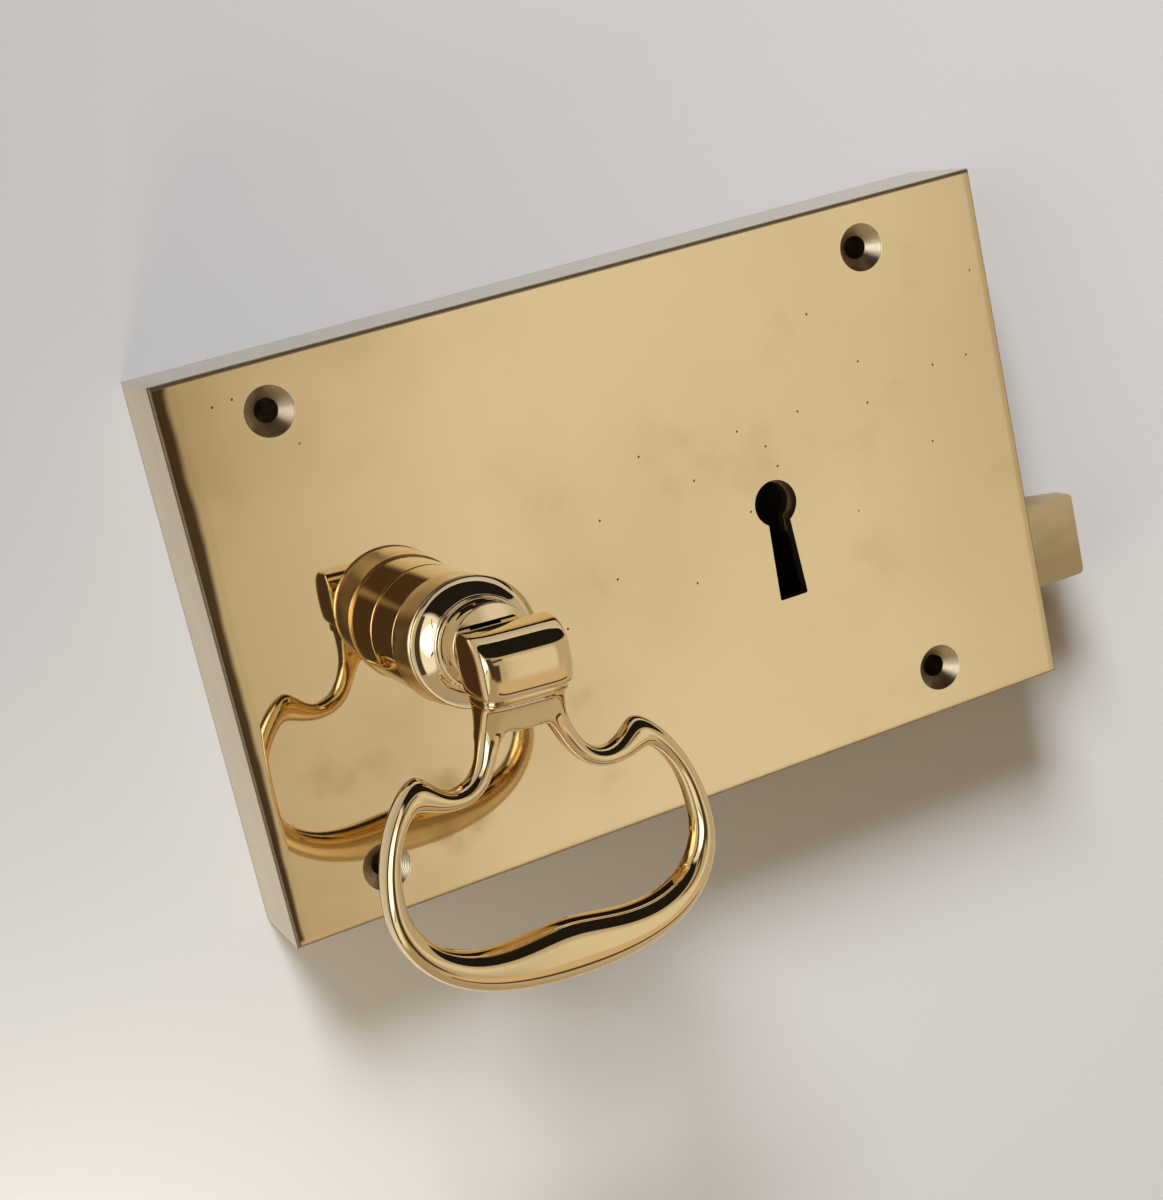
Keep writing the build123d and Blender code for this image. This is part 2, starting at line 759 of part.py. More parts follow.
# The strap that guides the latch's tail, with a foot above and below it
strap_out = bolt_front_out - tail_thickness - face_gap
strap_half = tail_height / 2 + sliding_gap
with BuildPart() as latch_bridge:
    with BuildSketch(Plane.YZ.offset(bridge_x - bridge_width / 2)):
        with BuildLine():
            foot_end = strap_half + bridge_gauge + bridge_foot
            Polyline(
                (-strap_out, latch_z),
                (-strap_out, latch_z + strap_half),
                (-plate_inside, latch_z + strap_half),
                (-plate_inside, latch_z + foot_end),
                (-plate_inside + bridge_gauge, latch_z + foot_end),
                (-plate_inside + bridge_gauge, latch_z + strap_half + bridge_gauge),
                (-strap_out + bridge_gauge, latch_z + strap_half + bridge_gauge),
                (-strap_out + bridge_gauge, latch_z),
            )
            mirror(about=Plane.XZ.offset(-latch_z))
        make_face()
    extrude(amount=bridge_width)
    with BuildSketch(out_plane(plate_inside - bridge_gauge)):
        foot_middle = strap_half + bridge_gauge + bridge_foot / 2
        with Locations((bridge_x, latch_z + foot_middle), (bridge_x, latch_z - foot_middle)):
            Circle(bridge_screw_diameter / 2 + seat_gap)
    extrude(amount=bridge_gauge, mode=Mode.SUBTRACT)
save(latch_bridge.part, "latch_bridge")

with BuildPart() as latch_bridge_screws:
    bridge_screw_places = [(bridge_x, latch_z + foot_middle), (bridge_x, latch_z - foot_middle)]
    head_height = 1.7
    with BuildSketch(out_plane(plate_inside - bridge_gauge - head_height)):
        with Locations(*bridge_screw_places):
            Circle(bridge_screw_diameter)
    extrude(amount=head_height)
    with BuildSketch(out_plane(plate_inside - bridge_gauge)):
        with Locations(*bridge_screw_places):
            Circle(bridge_screw_diameter / 2)
    extrude(amount=bridge_screw_length - 0.1)
    with BuildSketch(out_plane(plate_inside - bridge_gauge - head_height)):
        with Locations(*bridge_screw_places):
            Rectangle(0.7, 2 * bridge_screw_diameter)
    extrude(amount=0.8, mode=Mode.SUBTRACT)
save(latch_bridge_screws.part, "latch_bridge_screws")

# Flat bow spring: held between two posts of the case, its foot presses on the latch's block
with BuildPart() as latch_spring:
    with BuildSketch(out_plane(bolt_back_out + 2)):
        with BuildLine():
            foot_x = block_end_x - spring_gauge / 2 - 0.05
            Line((spring_root_x, spring_root_z), (spring_root_x, spring_root_z - 16))
            Spline(
                (spring_root_x, spring_root_z - 16),
                (spring_root_x + 5, latch_z + 24),
                (foot_x - 3, latch_z + 6),
                (foot_x, latch_z),
                (foot_x - 2, latch_z - 4.5),
                tangents=((0, -1), (-0.7, -0.7)),
            )
        trace(line_width=spring_gauge)
    extrude(amount=spring_width)
save(latch_spring.part, "latch_spring")

# The dead bolt: head flush with the side, shoulder, talon notch and a tail slotted for the post
dead_root_x = half_length - deadbolt_head_length
dead_shoulder_x = inner_half_length - deadbolt_throw - face_gap
slot_left_x = lever_post_x - deadbolt_throw - lever_post_diameter / 2 - 0.2
slot_right_x = lever_post_x + lever_post_diameter / 2 + 0.2
talon_top_z = keyhole_z + key_bit_radius + 0.6
strip_bottom_z = deadbolt_z - bolt_height / 2
tail_start_x = talon_centre_x - talon_half_width - 7
with BuildPart() as deadbolt:
    with BuildSketch(out_plane(bolt_back_out)) as dead_head:
        with Locations(((dead_root_x + half_length) / 2, deadbolt_z)):
            Rectangle(deadbolt_head_length, bolt_height)
        fillet(dead_head.vertices().group_by(Axis.X)[-1], bolt_corner_radius)
    extrude(amount=bolt_thickness)
    with BuildSketch(out_plane(bolt_back_out)):
        with Locations(((dead_root_x + dead_shoulder_x) / 2, deadbolt_z)):
            Rectangle(dead_shoulder_x - dead_root_x, bolt_height + 2 * bolt_shoulder)
    extrude(amount=bolt_thickness)
    with BuildSketch(out_plane(bolt_back_out)) as strip:
        with BuildLine():
            Polyline(
                (dead_root_x, strip_bottom_z + bolt_height),
                (tail_start_x, strip_bottom_z + bolt_height),
                (tail_start_x - 4, deadbolt_z + deadbolt_tail_height / 2),
                (deadbolt_tail_end_x, deadbolt_z + deadbolt_tail_height / 2),
                (deadbolt_tail_end_x, deadbolt_z - deadbolt_tail_height / 2),
                (tail_start_x - 4, deadbolt_z - deadbolt_tail_height / 2),
                (tail_start_x, strip_bottom_z),
                (dead_root_x, strip_bottom_z),
                close=True,
            )
        make_face()
        with BuildLine():
            notch_left = talon_centre_x - talon_half_width
            notch_right = talon_centre_x + talon_half_width
            Polyline(
                (notch_left, strip_bottom_z),
                (notch_left + 1, talon_top_z - 3),
            )
            ThreePointArc(
                (notch_left + 1, talon_top_z - 3),
                (talon_centre_x, talon_top_z),
                (notch_right - 1, talon_top_z - 3),
            )
            Polyline(
                (notch_right - 1, talon_top_z - 3),
                (notch_right, strip_bottom_z),
                (notch_left, strip_bottom_z),
            )
        make_face(mode=Mode.SUBTRACT)
        with Locations(((slot_left_x + slot_right_x) / 2, lever_post_z)):
            SlotOverall(
                slot_right_x - slot_left_x, lever_post_diameter + 0.3, mode=Mode.SUBTRACT
            )
        with Locations((stump_x, stump_z)):
            Circle(stump_width / 2 + seat_gap, mode=Mode.SUBTRACT)
    extrude(amount=tail_thickness)
save(deadbolt.part, "deadbolt")

with BuildPart() as bolt_stump:
    with BuildSketch(out_plane(lever_back_out - 0.4)):
        with Locations((stump_x, stump_z)):
            Rectangle(stump_width, stump_height)
    extrude(amount=bolt_back_out - lever_back_out + 0.4)
    with BuildSketch(out_plane(bolt_back_out)):
        with Locations((stump_x, stump_z)):
            Circle(stump_width / 2)
    extrude(amount=tail_thickness)
save(bolt_stump.part, "bolt_stump")

with BuildPart() as lever_post:
    with BuildSketch(out_plane(0.4)):
        with Locations((lever_post_x, lever_post_z)):
            Circle(lever_post_diameter / 2)
    extrude(amount=plate_inside - 2.5 - 0.4)
    chamfer(lever_post.edges().filter_by(GeomType.CIRCLE), 0.3)
save(lever_post.part, "lever_post")


def lever_frame(slide, lift):
    """Where the stump's centre stands as the lever sees it, from the post, in millimetres."""
    x = stump_x + slide - lever_post_x
    z = stump_z - lever_post_z
    return x * cos(lift) + z * sin(lift), z * cos(lift) - x * sin(lift)


# Levers: each is cut with two pockets for the stump and the gate between them
full_lift = radians(lever_lift)
gate_x = (lever_frame(0, 0)[0] + lever_frame(deadbolt_throw, full_lift)[0]) / 2
half_pass = (gate_land + stump_width) / 2
first_share = (gate_x - half_pass - lever_frame(0, 0)[0]) / deadbolt_throw
last_share = (gate_x + half_pass - lever_frame(0, 0)[0]) / deadbolt_throw
gate_high = lever_frame(first_share * deadbolt_throw, first_share * full_lift)[1]
gate_low = lever_frame(last_share * deadbolt_throw, last_share * full_lift)[1]
pocket_top = lever_frame(0, 0)[1] + stump_height / 2 + gate_gap
pocket_left = lever_frame(0, 0)[0] - stump_width / 2 - gate_gap
pocket_right = lever_frame(deadbolt_throw, full_lift)[0] + stump_width / 2 + gate_gap
rear_bottom = lever_frame(0, full_lift)[1] - stump_height / 2 - gate_gap
front_bottom = lever_frame(deadbolt_throw, full_lift)[1] - stump_height / 2 - gate_gap
gate_top = gate_high + stump_height / 2 + gate_gap
gate_bottom = gate_low - stump_height / 2 - gate_gap
belly_half = sqrt(belly_radius**2 - (lever_bottom_z - keyhole_z) ** 2)


def lever_solid(front_out):
    """One lever plate whose front face is at front_out."""
    with BuildPart(mode=Mode.PRIVATE) as lever:
        with BuildSketch(out_plane(front_out - lever_thickness)):
            with BuildLine():
                Polyline(
                    (keyhole_x + belly_half, lever_bottom_z),
                    (lever_end_x, lever_bottom_z),
                    (lever_end_x, lever_top_z),
                    (lever_post_x + 12, lever_top_z),
                    (lever_post_x, lever_post_z + lever_boss_diameter / 2 - 0.5),
                    (lever_post_x, lever_post_z - lever_boss_diameter / 2 + 0.5),
                    (keyhole_x - belly_half, lever_bottom_z),
                )
                ThreePointArc(
                    (keyhole_x - belly_half, lever_bottom_z),
                    (keyhole_x, keyhole_z + belly_radius),
                    (keyhole_x + belly_half, lever_bottom_z),
                )
            outline = make_face()
            fillet(outline.vertices().group_by(Axis.X)[-1], 3)
            with Locations((lever_post_x, lever_post_z)):
                Circle(lever_boss_diameter / 2)
                Circle(lever_post_diameter / 2 + running_gap, mode=Mode.SUBTRACT)
            with BuildLine():
                left_land = lever_post_x + gate_x - gate_land / 2
                right_land = lever_post_x + gate_x + gate_land / 2
                Polyline(
                    (lever_post_x + pocket_left, lever_post_z + pocket_top),
                    (left_land, lever_post_z + pocket_top),
                    (left_land, lever_post_z + gate_top),
                    (right_land, lever_post_z + gate_top),
                    (right_land, lever_post_z + pocket_top),
                    (lever_post_x + pocket_right, lever_post_z + pocket_top),
                    (lever_post_x + pocket_right, lever_post_z + front_bottom),
                    (right_land, lever_post_z + front_bottom),
                    (right_land, lever_post_z + gate_bottom),
                    (left_land, lever_post_z + gate_bottom),
                    (left_land, lever_post_z + rear_bottom),
                    (lever_post_x + pocket_left, lever_post_z + rear_bottom),
                    close=True,
                )
            make_face(mode=Mode.SUBTRACT)
        extrude(amount=lever_thickness)
    return lever.part


def lever_spring_solid(front_out):
    """The flat spring on top of one lever, pressing up against the stud."""
    stud_bottom = spring_stud_z - spring_stud_diameter / 2
    rest_z = lever_top_z + lever_spring_gauge / 2 + 0.05
    with BuildPart(mode=Mode.PRIVATE) as strip_spring:
        with BuildSketch(out_plane(front_out - lever_thickness)):
            with BuildLine():
                flat_end = (lever_post_x + 21, rest_z)
                Line((lever_post_x + 13, rest_z), flat_end)
                Spline(
                    flat_end,
                    (spring_stud_x - 14, (rest_z + stud_bottom) / 2),
                    (spring_stud_x, stud_bottom - lever_spring_gauge / 2 - 0.05),
                    tangents=((1, 0), (1, 0.05)),
                )
            trace(line_width=lever_spring_gauge)
        extrude(amount=lever_thickness)
    return strip_spring.part


for number in range(1, lever_count + 1):
    lever_out = lever_front_out - (number - 1) * lever_spacing
    save(lever_solid(lever_out), f"lever_{number}")
    save(lever_spring_solid(lever_out), f"lever_spring_{number}")

with BuildPart() as lever_washer:
    with BuildSketch(out_plane(lever_back_out - layer_gap - lever_washer_thickness)):
        with Locations((lever_post_x, lever_post_z)):
            Circle(lever_washer_diameter / 2)
            Circle(lever_post_diameter / 2 + seat_gap, mode=Mode.SUBTRACT)
    extrude(amount=lever_washer_thickness)
save(lever_washer.part, "lever_washer")

with BuildPart() as spring_stud:
    with BuildSketch(out_plane(back_plate_thickness + 0.3)):
        with Locations((spring_stud_x, spring_stud_z)):
            Circle(spring_stud_diameter / 2)
    extrude(amount=plate_inside - 2.5 - back_plate_thickness - 0.3)
save(spring_stud.part, "spring_stud")
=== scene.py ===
# %% [markdown]
# # A brass rim lock with a drop handle
#
# The lock was photographed lying on white paper and seen from its upper left. Its faces are mirrors, so
# most of what we see on them is the room: a bright window on the left, warm walls and a dark side above.
# The lesson goes in this order: the camera, the room and its light, the paper, the finishes, and then the
# pieces that are made anew, which are the drop handle, the turning shank and its collar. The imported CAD
# parts are the frame. Each new piece lies in the place of a CAD part, and the other parts only get a finish.

import json
from math import cos, pi, radians, sin

import bmesh
import bpy
from mathutils import Matrix, Vector


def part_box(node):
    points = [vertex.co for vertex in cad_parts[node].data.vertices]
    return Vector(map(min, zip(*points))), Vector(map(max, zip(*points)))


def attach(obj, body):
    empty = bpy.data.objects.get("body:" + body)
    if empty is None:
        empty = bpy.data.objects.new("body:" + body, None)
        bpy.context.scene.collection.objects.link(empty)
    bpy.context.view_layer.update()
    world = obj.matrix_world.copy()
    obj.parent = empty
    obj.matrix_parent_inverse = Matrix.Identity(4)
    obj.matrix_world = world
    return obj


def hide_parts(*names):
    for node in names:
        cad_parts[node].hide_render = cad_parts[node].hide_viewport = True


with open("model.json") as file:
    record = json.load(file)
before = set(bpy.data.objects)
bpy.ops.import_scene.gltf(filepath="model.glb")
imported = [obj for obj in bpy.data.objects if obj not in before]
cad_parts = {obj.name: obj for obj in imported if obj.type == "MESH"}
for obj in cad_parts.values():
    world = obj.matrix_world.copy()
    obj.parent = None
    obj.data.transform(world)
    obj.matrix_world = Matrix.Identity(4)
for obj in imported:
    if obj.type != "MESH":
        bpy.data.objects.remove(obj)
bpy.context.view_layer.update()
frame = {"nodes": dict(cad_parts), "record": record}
MM = 0.001

# %% [markdown]
# ## The camera
#
# The photographer held the camera over the paper, a little to the left of the lock and above it, and
# rolled to the side. The place and the lens come from the plate's four corners in the photograph and from
# the size that it is taken to have. The lens sees about 30 degrees, and the picture needs no shift.

# %% Camera
camera_data = bpy.data.cameras.new("camera")
camera_data.sensor_width = 36
camera_data.lens = 66.016
camera_data.clip_start, camera_data.clip_end = 0.02, 20
camera = bpy.data.objects.new("camera", camera_data)
bpy.context.scene.collection.objects.link(camera)
camera_place = Vector((-190.51, -477.33, 111.32)) * MM
right = Vector((0.892453, -0.396281, -0.215614))
up = Vector((0.290541, 0.139238, 0.946678))
back = Vector((-0.345129, -0.907510, 0.239399))
turn = Matrix((right, up, back)).transposed()
camera.matrix_world = Matrix.Translation(camera_place) @ turn.to_4x4()
bpy.context.scene.camera = camera
bpy.context.scene.view_settings.view_transform = "Standard"
print("camera:", round(camera_place.length / MM), "mm from the lock's middle")

# %% [markdown]
# ## Shader maths as Python
#
# A node tree is a formula drawn with boxes. This small class lets a socket stand in a Python expression,
# so that a mask can be written as 1 - distance * 4, and each operator adds the Math node that it needs.
# The same formula drawn by hand would take the whole screen.

# %% A socket that can be calculated with
class Wire:
    """An output socket of a node tree, with the operators of plain numbers."""

    def __init__(self, tree, socket):
        self.tree = tree
        self.socket = socket

    def math(self, operation, *others, flipped=False):
        values = [*others, self] if flipped else [self, *others]
        return node(self.tree, "ShaderNodeMath", {"operation": operation}, values)

    def __add__(self, other):
        return self.math("ADD", other)

    def __sub__(self, other):
        return self.math("SUBTRACT", other)

    def __rsub__(self, other):
        return self.math("SUBTRACT", other, flipped=True)

    def __mul__(self, other):
        return self.math("MULTIPLY", other)

    def __truediv__(self, other):
        return self.math("DIVIDE", other)

    def ramp(self, start, end, low=0.0, high=1.0):
        """Goes smoothly from low to high while this value goes from start to end."""
        settings = {"interpolation_type": "SMOOTHSTEP", "clamp": True}
        values = {"Value": self, "From Min": start, "From Max": end, "To Min": low, "To Max": high}
        return node(self.tree, "ShaderNodeMapRange", settings, values, "Result")

    def fade(self, start, end):
        """Goes smoothly from 1 to 0 while this value goes from start to end."""
        return self.ramp(start, end, 1.0, 0.0)


# %% Adding nodes
def node(tree, kind, settings=None, values=(), output=0):
    """Adds a node, sets it up, fills its sockets with numbers or wires and returns its output."""
    made = tree.nodes.new(kind)
    for name, value in (settings or {}).items():
        setattr(made, name, value)
    pairs = values.items() if isinstance(values, dict) else enumerate(values)
    for name, value in pairs:
        if isinstance(value, Wire):
            tree.links.new(value.socket, made.inputs[name])
        else:
            made.inputs[name].default_value = value
    return Wire(tree, made.outputs[output]) if made.outputs else None


def blend_colour(tree, mask, first, second):
    """Goes from the first colour to the second as the mask goes from 0 to 1."""
    return node(tree, "ShaderNodeMix", {"data_type": "RGBA"}, {0: mask, 6: first, 7: second}, 2)


# %% [markdown]
# ## The room
#
# Polished metal has hardly a colour of its own: it is a tinted mirror. The world is therefore painted by
# direction, like a studio built of large cards, which costs less than a modelled room and is as easy to
# move. A black card hangs above the lock, the window is a broad bright card on the left with the sun in its
# middle, and narrow dark cloths draw the dark bands in the handle. Only the mirrors see all that. Behind
# the lock, any other view shows a plain pale grey.

# %% An empty world
world = bpy.data.worlds.new("room")
bpy.context.scene.world = world
world.use_nodes = True
tree = world.node_tree
tree.nodes.clear()
direction = node(tree, "ShaderNodeTexCoord", output="Generated")
print("the", world.name, "is the scene's world")


# %% Two kinds of cards: round and rectangular
def along(axis):
    """How far the direction that is looked in goes along an axis: 1 is straight along it."""
    return node(tree, "ShaderNodeVectorMath", {"operation": "DOT_PRODUCT"}, [direction, axis], 1)


def card(towards, inner, outer):
    """1 inside a round card about a direction, fading to 0 between two radii in degrees."""
    return along(Vector(towards).normalized()).ramp(cos(radians(outer)), cos(radians(inner)))


def pane(towards, half_width, half_height, roll, softness):
    """1 inside a rectangular card about a direction: half sizes as tangents, roll in degrees."""
    ahead = Vector(towards).normalized()
    level = Vector((0, 0, 1)).cross(ahead).normalized()
    across = Matrix.Rotation(radians(roll), 3, ahead) @ level
    depth, side, rise = (along(axis) for axis in (ahead, across, ahead.cross(across)))
    inside = depth.ramp(0.0, 0.1)
    for offset, half in ((side, half_width), (rise, half_height)):
        distance = (offset / depth.math("MAXIMUM", 0.05)).math("ABSOLUTE")
        inside = inside * distance.fade(half - softness, half + softness)
    return inside


# %% The painted room
walls = (0.46, 0.385, 0.29, 1)
far_wall = (0.55, 0.49, 0.40, 1)
ceiling = (0.80, 0.765, 0.70, 1)
table_glow = (0.70, 0.56, 0.40, 1)
black_card = (0.015, 0.013, 0.012, 1)
window_sky = (1.02, 1.0, 0.97, 1)
window_sun = (2.4, 2.45, 2.6, 1)
dark_cloth = (0.075, 0.052, 0.035, 1)
cards = [
    (card((0.70, -0.65, -0.15), 48, 72), far_wall),
    (pane((0.35, -0.78, -0.68), 0.60, 0.24, 0, 0.14), table_glow),
    (pane((0.41, -0.92, -0.05), 0.16, 0.42, 0, 0.10), ceiling),
    (card((0.15, 0.15, 0.97), 66, 68), black_card),
    (card((-0.88, -0.36, 0.12), 34, 42), window_sky),
    (card((-0.78, -0.60, 0.17), 15, 23), window_sun),
    (pane((-0.70, -0.70, 0.15), 0.012, 0.6, 14, 0.01), dark_cloth),
    (pane((-0.985, -0.10, 0.10), 0.17, 0.75, 0, 0.03), dark_cloth),
    (pane((-0.72, -0.68, -0.12), 0.16, 0.035, 24, 0.03), dark_cloth),
    (pane((-0.37, -0.92, 0.10), 0.15, 0.46, 8, 0.05), dark_cloth),
    (pane((-0.02, -0.94, 0.34), 0.24, 0.06, 5, 0.03), dark_cloth),
    (pane((-0.14, -0.97, -0.15), 0.17, 0.27, -6, 0.06), dark_cloth),
    (pane((0.30, -0.60, -0.75), 0.6, 0.06, 0, 0.03), dark_cloth),
]
room = walls
for inside, colour in cards:
    room = blend_colour(tree, inside, room, colour)
print("the room has", len(cards), "cards")

# %% What the mirrors, the dull surfaces and the camera see of it
dim_light = (0.135, 0.085, 0.032, 1)
backdrop = (0.80, 0.79, 0.78, 1)
mirrored, fill, plain = (
    node(tree, "ShaderNodeBackground", {}, {"Color": colour, "Strength": 1.0})
    for colour in (room, dim_light, backdrop)
)
to_camera = node(tree, "ShaderNodeLightPath", output="Is Camera Ray")
to_dull = node(tree, "ShaderNodeLightPath", output="Is Diffuse Ray")
lit = node(tree, "ShaderNodeMixShader", {}, [to_dull, mirrored, fill])
seen = node(tree, "ShaderNodeMixShader", {}, [to_camera, lit, plain])
node(tree, "ShaderNodeOutputWorld", {}, [seen])
print("the world has", len(tree.nodes), "nodes")

# %% [markdown]
# ## The window's light
#
# On the paper the window gives soft shadows that fall down and to the right, so a large lamp stands high on
# the left. A second, small one makes the warm patch at the lock's lower left corner, where the brass throws
# the sun back on the paper. Real caustics would need very many samples. The mirrors don't see the lamps,
# because the painted window stands in for them there.

# %% Lamps
def lamp(name, place, aim, size, power, colour):
    """A square area lamp, placed and aimed in metres."""
    data = bpy.data.lights.new(name, "AREA")
    data.energy = power
    data.color = colour
    data.size = size
    made = bpy.data.objects.new(name, data)
    bpy.context.scene.collection.objects.link(made)
    made.location = place
    made.rotation_mode = "QUATERNION"
    made.rotation_quaternion = (Vector(aim) - Vector(place)).to_track_quat("-Z", "Y")
    made.visible_glossy = False
    print(name, "gives", power, "W from", round((Vector(aim) - Vector(place)).length, 2), "m")


lamp("daylight", (-1.3, -2.8, 4.9), (0, 0, -0.02), 1.9, 398, (0.955, 0.995, 1.055))
lamp("glint", (-0.215, -0.13, -0.19), (-0.145, 0, -0.110), 0.08, 0.24, (1.0, 0.89, 0.68))

# %% [markdown]
# ## The paper
#
# The lock lies on a sheet of white paper, which stands upright here because the lock does. One large plane
# is enough for it. Seen from behind, the sheet would hide the back plate, so its back side is see-through.
# So is the covered part for a ray that comes from very near, because the back plate would otherwise mirror
# nothing but darkness.

# %% The sheet
paper_half, paper_gap = 1.6, 0.2 * MM
paper_mesh = bmesh.new()
bmesh.ops.create_grid(paper_mesh, x_segments=2, y_segments=2, size=paper_half)
bmesh.ops.rotate(paper_mesh, verts=paper_mesh.verts, matrix=Matrix.Rotation(pi / 2, 3, "X"))
bmesh.ops.translate(paper_mesh, verts=paper_mesh.verts, vec=(0, paper_gap, 0))
paper_data = bpy.data.meshes.new("paper")
paper_mesh.to_mesh(paper_data)
paper = bpy.data.objects.new("paper", paper_data)
bpy.context.scene.collection.objects.link(paper)
print("paper:", 2 * paper_half, "m wide")


# %% Its finish
def start_material(name):
    """A new material, its empty node tree and the tree's wire of object coordinates."""
    made = bpy.data.materials.new(name)
    made.use_nodes = True
    made.node_tree.nodes.clear()
    return made, made.node_tree, node(made.node_tree, "ShaderNodeTexCoord", output="Object")


def noise(tree, place, scale, detail=2.0, stretch=None, turn=0.0):
    """A noise between 0 and 1 that can be stretched and then turned about Y, in degrees."""
    if stretch:
        mapping = {"Vector": place, "Scale": stretch, "Rotation": (0, radians(turn), 0)}
        place = node(tree, "ShaderNodeMapping", {}, mapping)
    return node(tree, "ShaderNodeTexNoise", {}, {"Vector": place, "Scale": scale, "Detail": detail})


paper_finish, tree, place = start_material("white_paper")
grain = noise(tree, place, 900.0, detail=3.0)
bump = node(tree, "ShaderNodeBump", {}, {"Height": grain, "Strength": 0.08, "Distance": 0.3 * MM})
across, upwards = (node(tree, "ShaderNodeSeparateXYZ", {}, [place], axis) for axis in (0, 2))
# Painted uneven light: the sheet's colour goes from shaded grey on the left to lit white on the right.
painted_shade_left, painted_light_right = (0.60, 0.61, 0.62, 1), (0.86, 0.845, 0.83, 1)
painted_uneven_light = blend_colour(tree, across.ramp(-0.24, 0.16), painted_shade_left, painted_light_right)
sheet = node(tree, "ShaderNodeBsdfPrincipled", {}, {"Base Color": painted_uneven_light, "Roughness": 0.8, "Normal": bump})
print("paper finish:", len(tree.nodes), "nodes for the sheet")

# %% Where it is see-through
covered_length, covered_height, soft = 103 * MM, 65 * MM, 1 * MM
under_lock = across.math("ABSOLUTE").fade(covered_length, covered_length + soft)
under_lock = under_lock * upwards.math("ABSOLUTE").fade(covered_height, covered_height + soft)
near = node(tree, "ShaderNodeLightPath", output="Ray Length").fade(0.8 * MM, 1.0 * MM)
open_there = node(tree, "ShaderNodeNewGeometry", output="Backfacing").math("MAXIMUM", under_lock * near)
clear = node(tree, "ShaderNodeBsdfTransparent")
covered = node(tree, "ShaderNodeMixShader", {}, [open_there, sheet, clear])
node(tree, "ShaderNodeOutputMaterial", {}, [covered])
paper_data.materials.append(paper_finish)
print("paper finish:", len(tree.nodes), "nodes with its see-through part")

# %% [markdown]
# ## The case's brass
#
# The case was cast in one piece, then filed and buffed. Buffing takes more off near an edge, so the plate
# falls away there and its mirror bends towards the dark side of the room. The sink holes keep the marks of
# the cutter, and the inside stays as it was cast. One material can hold all of that, because each region
# is known by its distance from an edge or from a hole.

# %% Distances on the case, in mm
plate_brass, tree, place = start_material("plate_brass")
case_low, case_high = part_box("case")
half_length, half_height, plate_out = case_high.x / MM, case_high.z / MM, -case_low.y / MM
raw_x, raw_y, raw_z = (node(tree, "ShaderNodeSeparateXYZ", {}, [place], axis) for axis in range(3))
x, y, z = (raw * (1 / MM) for raw in (raw_x, raw_y, raw_z))
from_left, from_right = x + half_length, half_length - x
from_bottom, from_top = z + half_height, half_height - z
behind_face = y + plate_out
hole_places = [(x_mm, z_mm) for x_mm in (-77.7, 69.0) for z_mm in (-52.2, 52.2)]
flat = node(tree, "ShaderNodeVectorMath", {"operation": "MULTIPLY"}, [place, (1, 0, 1)])
hole = None
for x_mm, z_mm in hole_places:
    ends = [flat, (x_mm * MM, 0, z_mm * MM)]
    away = node(tree, "ShaderNodeVectorMath", {"operation": "DISTANCE"}, ends, 1) * (1 / MM)
    hole = away if hole is None else hole.math("MINIMUM", away)
print("case:", round(2 * half_length, 1), "by", round(2 * half_height, 1), "mm,", len(hole_places), "holes")

# %% Its regions: side walls, partly painted shade, inside, sink holes and the rounded upper and left edges, which carry a painted dark reflection
walled = x.math("ABSOLUTE").fade(half_length - 0.3, half_length - 0.1)
walled = walled * z.math("ABSOLUTE").fade(half_height - 0.3, half_height - 0.1)
# The side walls: a duller filed finish, and their darker colour below is partly painted shade.
dull_and_shaded_sides = 1.0 - walled
inner = behind_face.ramp(0.02, 0.10) * walled
sink_radius = 6.0
sunk = inner * hole.fade(sink_radius - 0.1, sink_radius + 0.1)
# Painted dark reflection: a thin band along the upper and left edges gets a near-black brass colour.
edge = from_left.fade(0.7, 1.1).math("MAXIMUM", from_top.fade(0.7, 1.1))
edge = edge * behind_face.fade(0.5, 0.9)
print("plate brass:", len(tree.nodes), "nodes with its regions")


# %% How far buffing has lowered its edges
def fall(distance, reach, depth):
    """How far the surface has dropped, in mm, at a distance from an edge."""
    left = (1.0 - distance / reach).math("MAXIMUM", 0.0)
    return left * left * depth


uneven = noise(tree, place, 45.0) * 2.0 - 1.0
left_reach = z.ramp(-60.0, 60.0, 3.4, 6.4)
eased = fall((from_left + uneven) / left_reach, 1.0, 0.1) * left_reach
eased = eased + fall(from_right, 2.2, 0.13) + fall(from_top, 2.2, 0.15) + fall(from_bottom, 2.0, 0.10)
print("plate brass:", len(tree.nodes), "nodes with its lowered edges")

# %% Clouds, stains, pits and fine scratches
clouds = noise(tree, place, 16.0, detail=4.0).ramp(0.38, 0.68)
stains = noise(tree, place, 42.0, detail=6.0).ramp(0.55, 0.74) * noise(tree, place, 11.0).ramp(0.45, 0.62)
tarnish = (clouds * 0.6 + stains * 1.1) * x.ramp(-101.0, 30.0, 1.0, 0.25)
on_plate = node(tree, "ShaderNodeCombineXYZ", {}, [raw_x, raw_z])
cells = {"Vector": on_plate, "Scale": 58.0}
pit = node(tree, "ShaderNodeTexVoronoi", {"voronoi_dimensions": "2D"}, cells).fade(0.010, 0.018)
pit = pit * noise(tree, place, 19.0, detail=1.0).ramp(0.54, 0.57)
lines = noise(tree, place, 1.0, detail=1.0, stretch=(25, 1, 2600), turn=17).ramp(0.62, 0.70)
lines = lines * noise(tree, place, 35.0).ramp(0.58, 0.66)
crossing = noise(tree, place, 1.0, detail=1.0, stretch=(30, 1, 2400), turn=-38).ramp(0.66, 0.72)
lines = lines + crossing * noise(tree, place, 28.0, stretch=(1, 1, 1.3)).ramp(0.6, 0.7)
print("plate brass:", len(tree.nodes), "nodes with its marks")

